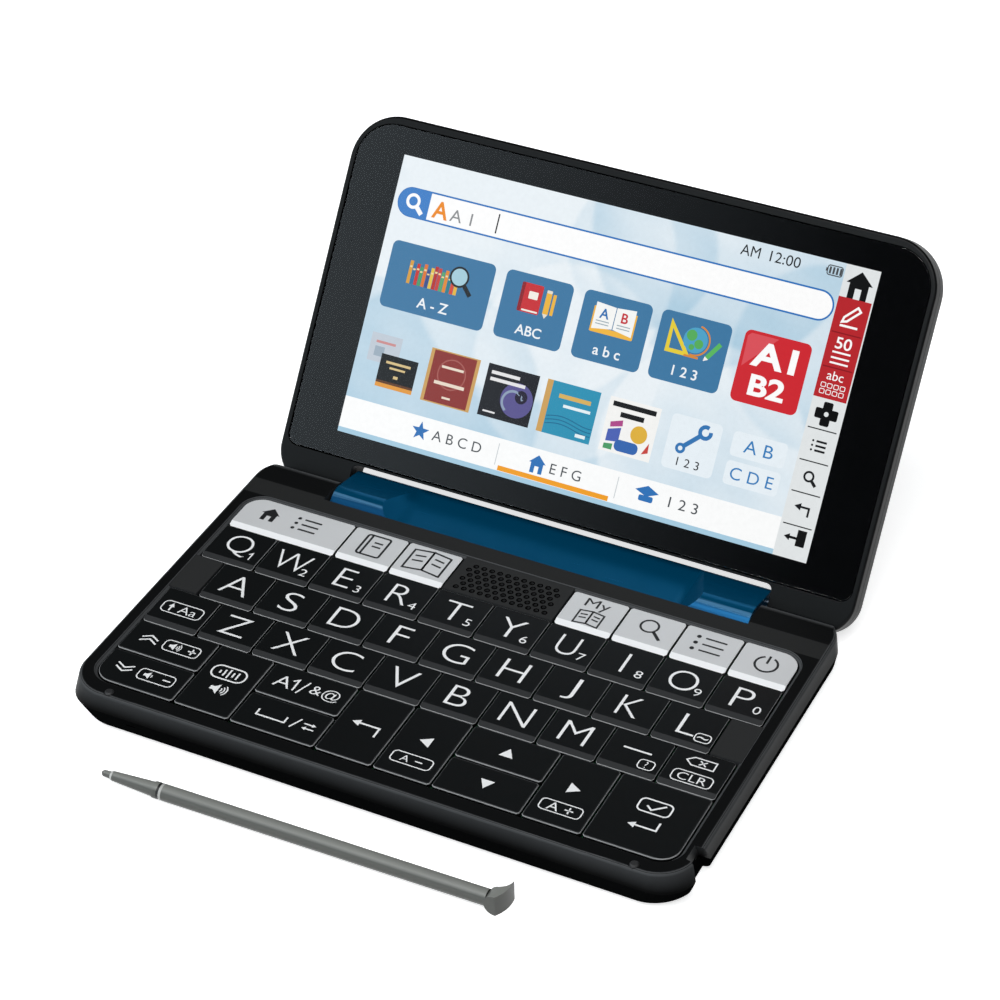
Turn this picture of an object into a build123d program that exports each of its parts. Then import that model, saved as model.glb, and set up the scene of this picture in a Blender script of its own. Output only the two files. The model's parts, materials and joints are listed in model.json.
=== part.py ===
from build123d import *
import os

# Electronic dictionary: a keyboard half and a touch-screen half joined by a two-axis hinge bar,
# with a stylus that is kept in a bay in the keyboard half.
# Millimetres. X is along the hinge, +Y points from the keyboard to the hinge, +Z is up, and z = 0 is
# the surface that the rubber feet stand on. The origin is under the middle of the keyboard half.
# The screen half is modelled open, at its reading angle.

os.makedirs("parts", exist_ok=True)

# ---------------------------------------------------------------- driving dimensions
# both halves
rim_side = 3.8               # from the keys to the side of the case
rim_front = 4.3              # from the keys to the front of the case
hinge_strip = 11.1           # from the hinge axis in the keyboard half to the keys
front_lip = 0.8              # how far the front of the keyboard half passes the free edge of the other
hinge_corner_r = 8.5         # plan radius of the corners beside the hinge
hinge_block = 20.0           # width of each half at either end of the hinge bar

# keyboard half
foot_h = 0.4                 # how far the feet lift the case
base_h = 10.4                # thickness of the keyboard half
base_skirt = 5.6             # height of the lower moulding
base_swell = 0.6             # how far the walls stand out where the two mouldings meet
base_tuck = 0.4              # how far their feet stand in
rim_corner_r = 9.5           # plan radius of the front corners at the top
seam_corner_r = 8.0          # where the two mouldings meet
foot_corner_r = 12.0         # and at the foot
base_top_round = 1.1
base_bottom_round = 3.0
floor_t = 1.4
wall_t = 2.2

# hinge
closed_gap = 0.7             # between the two halves when shut
bar_end_gap = 0.6            # between an end of the bar and the hinge block beside it
bar_front_gap = 0.5          # from the bar's roll to the wall in front of it
bar_rear_gap = 1.5           # from the bar's rear roll to the edge of the screen half
bar_rear_inset = 0.4         # how far the rear roll stays inside the round of the screen half
bar_side = 0.05              # how far the front roll stays inside the round of the case
scoop_half = 36.0            # half the length of the scooped middle
scoop_run = 6.5              # length of the slope at each end of it
scoop_round = 6.0            # radius that joins a slope to the middle
scoop_front_drop = 3.9       # how far the scooped face lies under the top of the case at the front
scoop_rear_drop = 2.8        # and at the rear
base_pin_r = 1.5
lid_pin_r = 1.1
pin_fit = 0.05               # radial running fit of a pin
pin_in_bar = 8.0
pin_in_case = 11.0
base_boss_wall = 1.45
lid_boss_wall = 1.1
boss_end = 1.5               # closed end of a boss
boss_relief = 0.05           # play where a boss or sleeve of one moulding passes the other

# screen half
screen_w, screen_h = 121.8, 68.5
bezel_side = 13.7            # from the picture to the side of the case
bezel_top = 9.1              # from the picture to the free edge
axis_to_screen = 11.4        # from the lid axis to the lower edge of the picture
lid_t = 7.0
lid_open = 124.5             # opening angle at rest
lid_frame_t = 2.3            # thickness of the inner moulding
lid_lip = 0.1                # how far the frame stands above the glass
lid_corner_r = 12.0          # plan radius of the free corners
lid_swell = 0.3              # how far its sides stand out behind the frame
lid_front_round = 0.7
lid_back_round = 1.8
lid_notch_r = 1.5            # corners of the notch round the bar
rim_of_glass = 1.45          # frame beside the glass
rim_over_glass = 2.15        # frame above it
strip_under_glass = 0.75     # frame between the glass and the bar
glass_top_r, glass_bottom_r = 9.4, 2.6
glass_t = 1.2
glass_gap = 0.15
module_t = 3.2
module_rim = 2.4             # the module's frame round the picture
module_r = 1.2
module_gap = 0.4
cell_t = 1.2                 # the part of the module that lies against the glass
cell_border = 0.8
cell_r = 0.4

# keyboard
columns = 10
pitch = 14.16
row_heights = [12.5, 13.0, 13.2, 12.9, 11.0, 11.0]   # from the hinge to the front
key_below_rim = 0.2
key_t = 1.4
key_gap = 0.55
key_travel = 0.8
key_corner = 0.45
key_edge = 0.2               # small bevel round the flat keys
bevel_run, bevel_drop = 1.5, 0.5
field_corner_r = 4.6         # the corner keys follow the corners of the well
well_gap = 0.35
well_chamfer = 0.7
plunger = 2.4
plunger_h = 0.25

# speaker grille
grille_columns, grille_rows = 12, 6
grille_pitch_x, grille_pitch_y = 2.05, 1.7
grille_hole_r = 0.42
grille_t = 1.2

# inside the keyboard half
board_t = 0.9
board_gap = 0.25
dome_r, dome_h = 2.0, 0.3
dome_gap = 0.05              # left between a pressed key and its dome
battery_w, battery_d = 56.0, 36.0
battery_x, battery_y = -30.0, 0.0
battery_gap = 0.5            # from the battery to the board
speaker_w, speaker_d, speaker_h = 21.0, 10.4, 3.4
speaker_gap = 0.5            # from the speaker to the board round it
cone_rim, cone_depth = 1.0, 0.6
block_r = 2.0                # corners of the battery and the speaker
post_r = 2.2
post_inset = 8.6             # from the side of the case to the outer posts
inner_posts = [(16.0, -8.0), (24.0, 24.0)]
outer_post_y = (-20.0, 22.0)

# stylus and its bay
stylus_r = 1.9
stylus_length = 98.0
collar_x, collar_length, groove = 13.4, 1.8, 0.12
head_length = 5.2
head_h = 5.3
head_back, head_front, head_hook = 1.95, 1.5, 4.5
head_tip = 1.8               # length of the head's full-height end
stylus_x = -57.0             # where its tip lies
stylus_away = 13.57          # how far it lies in front of the case
stylus_yaw = 0.38
bay_fit = 0.15
bay_wall = 0.85
bay_roof = 0.4
bay_inset = 9.6              # from the front of the case to the bay's axis
bay_recess = 2.1             # how far the catch slot is cut into the side
slot_front, slot_flare = 2.15, 0.8   # its front wall: before the bay axis, and how far that opens
slot_rear, slot_low = 2.4, 7.4       # its rear wall: behind the bay axis at the top, and at the foot
slot_back = 1.5              # thickness of the lower moulding behind the slot

# sockets, microphone slit and rubber parts
jack_r = 1.8
jack_y, usb_y = 14.0, -10.0
usb_w, usb_h = 8.9, 3.2
socket_depth = 2.6
socket_drop = 2.85           # from the top of the case to the middle of the sockets
mic_x, mic_w, mic_h, mic_depth, mic_rise = -57.6, 2.2, 0.5, 1.2, 3.6
foot_r, foot_chamfer = 4.0, 0.15
foot_seat = 0.6              # depth of the round seats that the feet are glued into
foot_inset = 12.6
foot_front, foot_rear = 9.45, 8.95   # from the front edge, and from the hinge axis
bumper_r, bumper_h, bumper_chamfer = 1.05, 0.35, 0.3
bumper_seat = 0.6            # depth of the round seats that the bumpers stand in
bumper_inset, bumper_front = 11.1, 1.4
seat_fit = 0.1               # play round a foot or a bumper

# ---------------------------------------------------------------- worked out from them
half_width = max(columns / 2 * pitch + rim_side, screen_w / 2 + bezel_side)
reach = max(hinge_strip + sum(row_heights) + rim_front, axis_to_screen + screen_h + bezel_top)
base_z0 = foot_h
base_z1 = base_z0 + base_h
base_part_z = base_z0 + base_skirt
base_round = base_h / 2
base_axis_y = (reach - base_round) / 2
base_axis_z = base_z0 + base_h / 2
front_y = base_axis_y - reach - front_lip / 2
rear_y = base_axis_y + base_round
lid_round = lid_t / 2
axis_distance = base_round + lid_round + closed_gap
lid_axis_y = base_axis_y + axis_distance
lid_axis_z = base_axis_z
bar_notch_half = half_width - hinge_block
bar_half = bar_notch_half - bar_end_gap
notch_front_y = base_axis_y - base_round - bar_front_gap

lid_w1 = lid_lip
lid_w0 = lid_lip - lid_t
lid_part_w = lid_lip - lid_frame_t
lid_axis_w = lid_lip - lid_round
lid_axis_v = -axis_to_screen
lid_top_v = lid_axis_v + reach - front_lip / 2
lid_notch_v = lid_axis_v + lid_round - bar_rear_inset + bar_rear_gap
glass_side = half_width - rim_of_glass
glass_top = lid_top_v - rim_over_glass
glass_bottom = lid_notch_v + strip_under_glass

keys_rear_y = base_axis_y - hinge_strip
row_edges = [sum(row_heights[:row]) for row in range(len(row_heights) + 1)]
key_top_z = base_z1 - key_below_rim
key_bottom_z = key_top_z - key_t
well_half = columns / 2 * pitch - key_gap / 2 + well_gap
well_front_y = keys_rear_y - row_edges[-1] + key_gap / 2 - well_gap
well_rear_y = keys_rear_y - key_gap / 2 + well_gap
well_corner_r = field_corner_r + well_gap
board_z = key_bottom_z - plunger_h - key_travel - dome_gap - dome_h - board_t
battery_z = base_z0 + floor_t
bay_r = stylus_r + bay_fit
bay_y = front_y + bay_inset
bay_z = board_z - boss_relief - bay_roof - bay_r
bay_mouth = half_width - bay_recess
bay_depth = stylus_length - head_length + 0.8
socket_z = base_z1 - socket_drop
foot_places = [(side * (half_width - foot_inset), y) for side in (-1, 1)
               for y in (front_y + foot_front, base_axis_y - foot_rear)]
bumper_places = [(side * (half_width - bumper_inset), front_y + bumper_front) for side in (-1, 1)]
far = 4 * half_width         # longer than anything that it has to cut

# the lid's own frame: x along the hinge, y up the screen from the picture's lower edge, z out of it
lid_place = (
    Pos(0, lid_axis_y, lid_axis_z)
    * Rot(180 - lid_open, 0, 0)
    * Pos(0, axis_to_screen, -lid_axis_w)
)


def save(shape, name):
    """Write one sub-part in millimetres."""
    export_step(shape, f"parts/{name}.step")


def block(x0, x1, y0, y1, z0, z1):
    """A box from its lowest to its highest corner."""
    return Pos((x0 + x1) / 2, (y0 + y1) / 2, (z0 + z1) / 2) * Box(x1 - x0, y1 - y0, z1 - z0)


def rod(radius, x0, x1, y, z):
    """A cylinder along X."""
    return Pos((x0 + x1) / 2, y, z) * Rot(0, 90, 0) * Cylinder(radius, x1 - x0)


def outline(half, y0, y1, low_r, high_r):
    """A rectangle with one radius on its two low corners and another on its two high ones."""
    face = Pos(0, (y0 + y1) / 2) * Rectangle(2 * half, y1 - y0)
    face = fillet(face.vertices().group_by(Axis.Y)[0], low_r)
    return fillet(face.vertices().group_by(Axis.Y)[-1], high_r)


def shell(low, middle, high, z0, z1, z2, low_round, high_round):
    """A body whose walls run straight between three outlines, with its two rims rounded."""
    plate = loft([Pos(0, 0, z0) * low, Pos(0, 0, z1) * middle], ruled=True)
    plate += loft([Pos(0, 0, z1) * middle, Pos(0, 0, z2) * high], ruled=True)
    plate = fillet(plate.faces().sort_by(Axis.Z)[0].edges(), low_round)
    return fillet(plate.faces().sort_by(Axis.Z)[-1].edges(), high_round)


def outside_round(radius, half, end_r, y, z):
    """All that lies behind an axis and outside the round about it, whose two ends are rounded too."""
    full = fillet(rod(radius, -half, half, y, z).edges().filter_by(GeomType.CIRCLE), end_r)
    return block(-far, far, y, y + far, z - far, z + far) - full


def both_sides(shape):
    """The shape and its mirror image across X = 0."""
    return shape + mirror(shape, Plane.YZ)


def slope_angle(rise, run):
    """The angle of a slope, in degrees."""
    return Vector(1, 0, 0).get_angle(Vector(run, rise, 0))


# ---------------------------------------------------------------- keyboard half
def base_body():
    """The closed outside of the keyboard half, with a full round at the hinge and the bar's notch."""
    low = outline(half_width - base_tuck, front_y + base_tuck, rear_y, foot_corner_r, hinge_corner_r)
    middle = outline(half_width + base_swell, front_y - base_swell, rear_y, seam_corner_r, hinge_corner_r)
    high = outline(half_width, front_y, rear_y, rim_corner_r, hinge_corner_r)
    body = shell(low, middle, high, base_z0, base_part_z, base_z1, base_bottom_round, base_top_round)
    body -= outside_round(base_round, half_width + base_swell, base_swell + base_top_round,
                          base_axis_y, base_axis_z)
    return body - block(-bar_notch_half, bar_notch_half, notch_front_y, far, -far, far)


def base_boss(relief=0.0):
    """The two bosses round the base pins, grown by the play where they pass the lower moulding."""
    radius = base_pin_r + pin_fit + base_boss_wall + relief
    end = bar_notch_half + pin_in_case + boss_end + relief
    return both_sides(rod(radius, bar_notch_half - relief, end, base_axis_y, base_axis_z))


def base_bores():
    """The two bores that the base pins run in."""
    return both_sides(rod(base_pin_r + pin_fit, bar_half, bar_half + pin_in_case + pin_fit,
                          base_axis_y, base_axis_z))


def catch_slot():
    """The slot at the front right corner that the stylus head fills and a fingernail reaches."""
    side, run, lean = half_width + 2 * base_swell, bay_recess + 2 * base_swell, slot_low - slot_rear
    front = bay_y - slot_front
    plan = Polyline((bay_mouth, front), (side, front - slot_flare * run / (bay_recess + base_swell)),
                    (side, far), (bay_mouth, far), close=True)
    profile = Polyline((-far, base_z0 - base_h), (bay_y + slot_low + lean, base_z0 - base_h),
                       (bay_y + slot_rear - lean, base_z1 + base_h), (-far, base_z1 + base_h), close=True)
    room = extrude(Pos(0, 0, -base_h) * make_face(plan), 4 * base_h)
    return room & extrude(Plane.YZ.offset(0) * make_face(profile), far)


def seats(radius, z0, z1, places):
    """Round seats or pads of one size at the given places."""
    spots = Sketch() + [Pos(x, y) * Circle(radius) for x, y in places]
    return extrude(Pos(0, 0, z0) * spots, z1 - z0)


def bay_sleeve(relief=0.0):
    """The square sleeve round the stylus bay, grown by the play where it passes the top moulding."""
    side = bay_r + bay_wall + relief
    low = base_z0 + floor_t / 2
    return block(bay_mouth - bay_depth - bay_wall, bay_mouth, bay_y - side, bay_y + side, low,
                 bay_z + bay_r + bay_roof + relief)


def well():
    """The opening that the keys stand in."""
    face = outline(well_half, well_front_y, well_rear_y, well_corner_r, well_corner_r)
    return extrude(Pos(0, 0, base_z0) * face, base_h + 1)


def key_box(left, right, row_0, row_1):
    """The x and y range of a key from its columns and rows."""
    x0 = (left - columns / 2) * pitch + key_gap / 2
    x1 = (right - columns / 2) * pitch - key_gap / 2
    return x0, x1, keys_rear_y - row_edges[row_1] + key_gap / 2, keys_rear_y - row_edges[row_0] - key_gap / 2


def grille():
    """The fixed panel between the silver keys, with staggered sound holes."""
    x0, x1, y0, y1 = key_box(*grille_cell)
    panel = block(x0, x1, y0, well_rear_y + well_chamfer, key_top_z - grille_t, key_top_z)
    places = []
    for row in range(grille_rows):
        count = grille_columns - row % 2
        y = (y0 + y1) / 2 + (row - (grille_rows - 1) / 2) * grille_pitch_y
        for column in range(count):
            places.append(Pos((column - (count - 1) / 2) * grille_pitch_x, y))
    holes = Sketch() + [place * RegularPolygon(grille_hole_r, 6) for place in places]
    return panel - extrude(Pos(0, 0, key_top_z - 2 * grille_t) * holes, 3 * grille_t)


def filler(cell):
    """A fixed filler at one end of the third row, joined to the rim beside it."""
    x0, x1, y0, y1 = key_box(*cell)
    rim = well_half + well_chamfer
    if x0 < 0:
        return block(-rim, x1, y0, y1, key_bottom_z, key_top_z)
    return block(x0, rim, y0, y1, key_bottom_z, key_top_z)


def base_top_cover(body):
    """The upper moulding: rim, well, grille, fillers, hinge bosses and the two sockets."""
    cover = body & block(-far, far, -far, far, base_part_z, far)
    cover -= well()
    cover = chamfer(cover.faces().sort_by(Axis.Z)[-1].inner_wires()[0].edges(), well_chamfer)
    cover += grille()
    for cell in filler_cells:
        cover += filler(cell)
    cover += base_boss()
    cover -= base_bores()
    cover -= catch_slot()
    cover -= bay_sleeve(boss_relief)
    cover -= seats(bumper_r + seat_fit, base_z1 - bumper_seat, far, bumper_places)
    cover -= rod(jack_r, -half_width - 1, -half_width + socket_depth, jack_y, socket_z)
    port = Pos(-half_width - 1, usb_y, socket_z) * Rot(0, 90, 0) * Rot(0, 0, 90) * SlotOverall(usb_w, usb_h)
    return cover - extrude(port, socket_depth + 1)


def base_bottom_cover(body):
    """The lower moulding: tub, stylus bay, board posts and the space for the battery."""
    cover = body & block(-far, far, -far, far, -far, base_part_z)
    room = outline(half_width - wall_t, front_y + wall_t, notch_front_y - wall_t,
                   foot_corner_r - wall_t, hinge_corner_r - wall_t)
    cover -= extrude(Pos(0, 0, base_z0 + floor_t) * room, base_h)
    cover -= base_boss(2 * boss_relief)
    foot_z = base_z0 + floor_t / 2
    outer = [(side * (half_width - post_inset), y) for side in (-1, 1) for y in outer_post_y]
    for x, y in outer + inner_posts:
        cover += Pos(x, y, (foot_z + board_z) / 2) * Cylinder(post_r, board_z - foot_z)
    cover += bay_sleeve()
    cover += block(bay_mouth - slot_back, half_width - wall_t / 2, bay_y, bay_y + slot_low + slot_back,
                   foot_z, base_part_z)
    cover -= catch_slot()
    cover -= rod(bay_r, bay_mouth - bay_depth, bay_mouth + 1, bay_y, bay_z)
    cover -= seats(foot_r + seat_fit, -far, base_z0 + foot_seat, foot_places)
    return cover - block(mic_x - mic_w / 2, mic_x + mic_w / 2, front_y - 1, front_y + mic_depth,
                         base_z0 + mic_rise, base_z0 + mic_rise + mic_h)


def key_board():
    """The circuit board under the keys with one snap dome for each, cut out round the speaker."""
    face = outline(well_half - board_gap, well_front_y + board_gap, well_rear_y - board_gap,
                   well_corner_r - board_gap, well_corner_r - board_gap)
    board = extrude(Pos(0, 0, board_z) * face, board_t)
    x = speaker_w / 2 + speaker_gap
    y = speaker_d / 2 + speaker_gap
    board -= block(-x, x, speaker_y() - y, speaker_y() + y, 0, far)
    domes = Sketch()
    for left, right, row_0, row_1, _, _ in key_table.values():
        x0, x1, y0, y1 = key_box(left, right, row_0, row_1)
        domes += Pos((x0 + x1) / 2, (y0 + y1) / 2) * RegularPolygon(dome_r, 8)
    return board + extrude(Pos(0, 0, board_z + board_t) * domes, dome_h)


def speaker_y():
    """The middle of the grille, where the speaker sits."""
    _, _, y0, y1 = key_box(*grille_cell)
    return (y0 + y1) / 2


def speaker():
    """A flat speaker glued under the grille: a frame with a round seat for its cone."""
    top = key_top_z - grille_t
    frame = extrude(Pos(0, speaker_y(), top - speaker_h) * RectangleRounded(speaker_w, speaker_d, block_r),
                    speaker_h)
    return frame - Pos(0, speaker_y(), top) * Cylinder(speaker_d / 2 - cone_rim, 2 * cone_depth)


def battery():
    """A flat rechargeable cell that lies on the floor of the tub."""
    face = RectangleRounded(battery_w, battery_d, block_r)
    return extrude(Pos(battery_x, battery_y, battery_z) * face, board_z - battery_gap - battery_z)


def rubber_pads():
    """Four feet under the case and two bumpers on the front corners of its rim."""
    pads = []
    for place in foot_places:
        foot = seats(foot_r, 0, foot_h + foot_seat, [place])
        pads.append(chamfer(foot.faces().sort_by(Axis.Z)[0].edges(), foot_chamfer))
    for place in bumper_places:
        bumper = seats(bumper_r, base_z1 - bumper_seat, base_z1 + bumper_h, [place])
        pads.append(chamfer(bumper.faces().sort_by(Axis.Z)[-1].edges(), bumper_chamfer))
    return Compound(children=pads)


# ---------------------------------------------------------------- keys
grille_cell = (4, 6, 0, 1)
filler_cells = [(0, 0.5, 2, 3), (9.5, 10, 2, 3)]


def build_key_table():
    """Each moving key: left and right column, first and last row edge, wide bevel, rounded corner."""
    table = {
        "key_home": (0, 2, 0, 1, True, "rear left"),
        "key_book_a": (2, 3, 0, 1, True, ""),
        "key_book_b": (3, 4, 0, 1, True, ""),
        "key_list": (6, 7, 0, 1, True, ""),
        "key_example": (7, 8, 0, 1, True, ""),
        "key_study": (8, 9, 0, 1, True, ""),
        "key_power": (9, 10, 0, 1, True, "rear right"),
        "key_shift": (0, 1, 3, 4, True, ""),
        "key_long_dash": (8, 9, 3, 4, True, ""),
        "key_delete": (9, 10, 3, 4, True, ""),
        "key_volume_up": (0, 1.5, 4, 5, False, ""),
        "key_volume_down": (0, 1.5, 5, 6, False, "front left"),
        "key_voice": (1.5, 2.5, 4, 6, False, ""),
        "key_symbol": (2.5, 4, 4, 5, False, ""),
        "key_space": (2.5, 4, 5, 6, False, ""),
        "key_back": (4, 5, 4, 6, False, ""),
        "key_left": (5, 6, 4, 6, False, ""),
        "key_up": (6, 7.5, 4, 5, False, ""),
        "key_down": (6, 7.5, 5, 6, False, ""),
        "key_right": (7.5, 8.5, 4, 6, False, ""),
        "key_enter": (8.5, 10, 4, 6, False, "front right"),
    }
    for letters, first, row in (("qwertyuiop", 0, 1), ("asdfghjkl", 0.5, 2), ("zxcvbnm", 1, 3)):
        for place, letter in enumerate(letters):
            table[f"key_{letter}"] = (first + place, first + place + 1, row, row + 1, True, "")
    return table


def key_outline(x0, x1, y0, y1, rounded):
    """The plan of a key: clipped corners, and one large round where it fills a corner of the well."""
    face = Pos((x0 + x1) / 2, (y0 + y1) / 2) * Rectangle(x1 - x0, y1 - y0)
    if not rounded:
        return chamfer(face.vertices(), key_corner)
    corner = (x1 if "right" in rounded else x0, y1 if "rear" in rounded else y0, 0)
    face = chamfer(face.vertices().sort_by_distance(corner)[1:], key_corner)
    return fillet(face.vertices().sort_by_distance(corner)[0], field_corner_r)


def key(left, right, row_0, row_1, wide_bevel, rounded):
    """A key cap, with a wide bevel along its front or a small one all round, on its plunger."""
    x0, x1, y0, y1 = key_box(left, right, row_0, row_1)
    cap = extrude(Pos(0, 0, key_bottom_z) * key_outline(x0, x1, y0, y1, rounded), key_t)
    if wide_bevel:
        slope = Polyline((y0 - 1, key_top_z - bevel_drop - bevel_drop / bevel_run),
                         (y0 + bevel_run, key_top_z), (y0 - 1, key_top_z), close=True)
        cap -= extrude(Plane.YZ.offset(x0 - 1) * make_face(slope), x1 - x0 + 2)
    else:
        cap = chamfer(cap.faces().sort_by(Axis.Z)[-1].edges(), key_edge)
    stem = Pos((x0 + x1) / 2, (y0 + y1) / 2, key_bottom_z - plunger_h / 2) * Box(plunger, plunger, plunger_h)
    return cap + stem


# ---------------------------------------------------------------- hinge
def hinge_bar():
    """The metal bar: a thick front roll and a thinner rear one with flat faces between, and a scoop."""
    rolls = (Pos(base_axis_y, base_axis_z) * Circle(base_round - bar_side)).edges()
    rolls += (Pos(lid_axis_y, lid_axis_z) * Circle(lid_round - bar_rear_inset)).edges()
    bar = extrude(Plane.YZ.offset(-bar_half) * make_hull(rolls), 2 * bar_half)
    y0, y1 = base_axis_y - base_round, lid_axis_y + lid_round
    scoop_z = base_z1 - scoop_front_drop
    tilt = slope_angle(scoop_front_drop - scoop_rear_drop, y1 - y0)
    rim, rise = scoop_half + scoop_run, base_z1 + 0.6
    valley = Polyline((-rim, rise + 5), (-rim, rise), (-scoop_half, scoop_z), (scoop_half, scoop_z),
                      (rim, rise), (rim, rise + 5), close=True)
    face = fillet(make_face(valley).vertices().group_by(Axis.Y)[0], scoop_round)
    scoop = extrude(Plane.XZ.offset(1 - y0) * face, y0 - y1 - 2)
    bar -= Pos(0, y0, scoop_z) * Rot(tilt, 0, 0) * Pos(0, -y0, -scoop_z) * scoop
    return bar - both_sides(pin(base_pin_r, base_axis_y) + pin(lid_pin_r, lid_axis_y))


def pin(radius, y):
    """One pin at the right end of the bar."""
    return rod(radius, bar_half - pin_in_bar, bar_half + pin_in_case, y, base_axis_z)


def hinge_pins():
    """Four steel pins, pressed into the ends of the bar and turning in the two halves."""
    right = [pin(base_pin_r, base_axis_y), pin(lid_pin_r, lid_axis_y)]
    return Compound(children=right + [mirror(shape, Plane.YZ) for shape in right])


# ---------------------------------------------------------------- screen half, in its own frame
def lid_body():
    """The closed outside of the screen half, with a full round at the hinge and the bar's notch."""
    low_v = lid_axis_v - lid_round
    wide = outline(half_width + lid_swell, low_v, lid_top_v, hinge_corner_r, lid_corner_r)
    face = outline(half_width, low_v, lid_top_v, hinge_corner_r, lid_corner_r)
    body = shell(wide, wide, face, lid_w0, lid_part_w, lid_w1, lid_back_round, lid_front_round)
    notch = outline(bar_notch_half, low_v - lid_corner_r, lid_notch_v, lid_notch_r, lid_notch_r)
    beyond = outside_round(lid_round, half_width + lid_swell, lid_swell + lid_front_round,
                           -lid_axis_v, lid_axis_w)
    body -= mirror(beyond, Plane.XZ)
    return body - extrude(Pos(0, 0, -2 * lid_t) * notch, 4 * lid_t)


def lid_boss(relief=0.0):
    """The two bosses round the lid pins, grown by the play where they pass the front frame."""
    radius = lid_pin_r + pin_fit + lid_boss_wall + relief
    end = bar_notch_half + pin_in_case + boss_end + relief
    return both_sides(rod(radius, bar_notch_half - relief, end, lid_axis_v, lid_axis_w))


def lid_bores():
    """The two bores that the lid pins run in."""
    return both_sides(rod(lid_pin_r + pin_fit, bar_half, bar_half + pin_in_case + pin_fit,
                          lid_axis_v, lid_axis_w))


def screen_outline(border, radius):
    """The picture's outline, grown by a border."""
    return outline(screen_w / 2 + border, -border, screen_h + border, radius, radius)


def lid_back_cover(body):
    """The outer moulding of the screen half, with the module's space and the hinge bosses."""
    cover = body & block(-far, far, -far, far, -far, lid_part_w)
    room = screen_outline(module_rim + module_gap, module_r + module_gap)
    cover -= extrude(Pos(0, 0, -glass_t - module_t) * room, lid_t)
    return cover + lid_boss() - lid_bores()


def lid_front_frame(body):
    """The inner moulding: the rim round the glass, the ledge under it and the strip beside the bar."""
    frame = body & block(-far, far, -far, far, lid_part_w, far)
    seat = outline(glass_side + glass_gap, glass_bottom - glass_gap, glass_top + glass_gap,
                   glass_bottom_r + glass_gap, glass_top_r + glass_gap)
    frame -= extrude(Pos(0, 0, -glass_t) * seat, lid_t)
    room = screen_outline(module_rim + module_gap, module_r + module_gap)
    frame -= extrude(Pos(0, 0, -lid_t) * room, 2 * lid_t)
    return frame - lid_boss(boss_relief) - lid_bores()


def touch_glass():
    """The cover glass with its touch film, one sheet over the whole inner face."""
    face = outline(glass_side, glass_bottom, glass_top, glass_bottom_r, glass_top_r)
    return extrude(Pos(0, 0, -glass_t) * face, glass_t)


def lcd_module():
    """The screen module: a flat can with the cell bonded under the glass."""
    can = extrude(Pos(0, 0, -glass_t - module_t) * screen_outline(module_rim, module_r), module_t - cell_t)
    return can + extrude(Pos(0, 0, -glass_t - cell_t) * screen_outline(cell_border, cell_r), cell_t)


# ---------------------------------------------------------------- stylus, along X from its tip
def stylus():
    """Rounded nib, cone, collar and barrel, and a D-shaped head with a thin hook for the nail."""
    neck = stylus_length - head_length
    nib = [(0, 0), (0.15, 0.45), (0.6, 0.75), (2.4, 0.85), (2.6, 1.1), (collar_x, stylus_r - 0.2)]
    seam = collar_x + collar_length - 0.3
    collar = [(collar_x, stylus_r), (seam - 0.3, stylus_r), (seam, stylus_r - groove),
              (seam + 0.3, stylus_r)]
    barrel = [(neck + 1, stylus_r), (neck + 1, 0)]
    pen = revolve(make_face(Polyline(nib + collar + barrel, close=True)), Axis.X)
    # plan of the head: flat back, outer arc that follows the corner of the case, hook, hollow inside
    start, flat, tip = neck - 0.4, stylus_length - head_tip, stylus_length - 0.25
    inner = flat - 0.6
    plan = make_face([
        Line((start, -head_back), (flat, -head_back)),
        ThreePointArc((flat, -head_back), (tip - 0.1, 1.1), (tip, head_hook)),
        ThreePointArc((tip, head_hook), (tip - 0.85, 2.3), (inner, head_front)),
        Line((inner, head_front), (start, head_front)),
        Line((start, head_front), (start, -head_back)),
    ])
    head = extrude(Pos(0, 0, -head_h / 2) * plan, head_h)
    drum = Pos(flat, 0, 0) * Rot(90, 0, 0) * Cylinder(head_h / 2, 4 * head_hook)
    drum += block(flat, flat + head_h, -2 * head_hook, 2 * head_hook, -head_h / 2, head_h / 2)
    return pen + (head & drum)


def stylus_place():
    """Where the stylus lies: on its collar and on the lower side of its head."""
    run = stylus_length - head_length - collar_x
    rise = head_h / 2 - stylus_r
    tip_z = stylus_r - collar_x * rise / run + 0.01
    tip_at = Pos(stylus_x, front_y - stylus_away, tip_z)
    return tip_at * Rot(0, 0, stylus_yaw) * Rot(0, -slope_angle(rise, run), 0)


key_table = build_key_table()

base = base_body()
save(base_top_cover(base), "base_top_cover")
save(base_bottom_cover(base), "base_bottom_cover")
save(key_board(), "key_board")
save(speaker(), "speaker")
save(battery(), "battery")
save(rubber_pads(), "rubber_pads")
for name, row in key_table.items():
    save(key(*row), name)
save(hinge_bar(), "hinge_bar")
save(hinge_pins(), "hinge_pins")
lid = lid_body()
save(lid_place * lid_back_cover(lid), "lid_back_cover")
save(lid_place * lid_front_frame(lid), "lid_front_frame")
save(lid_place * touch_glass(), "touch_glass")
save(lid_place * lcd_module(), "lcd_module")
save(stylus_place() * stylus(), "stylus")
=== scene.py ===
import json
import math

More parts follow.
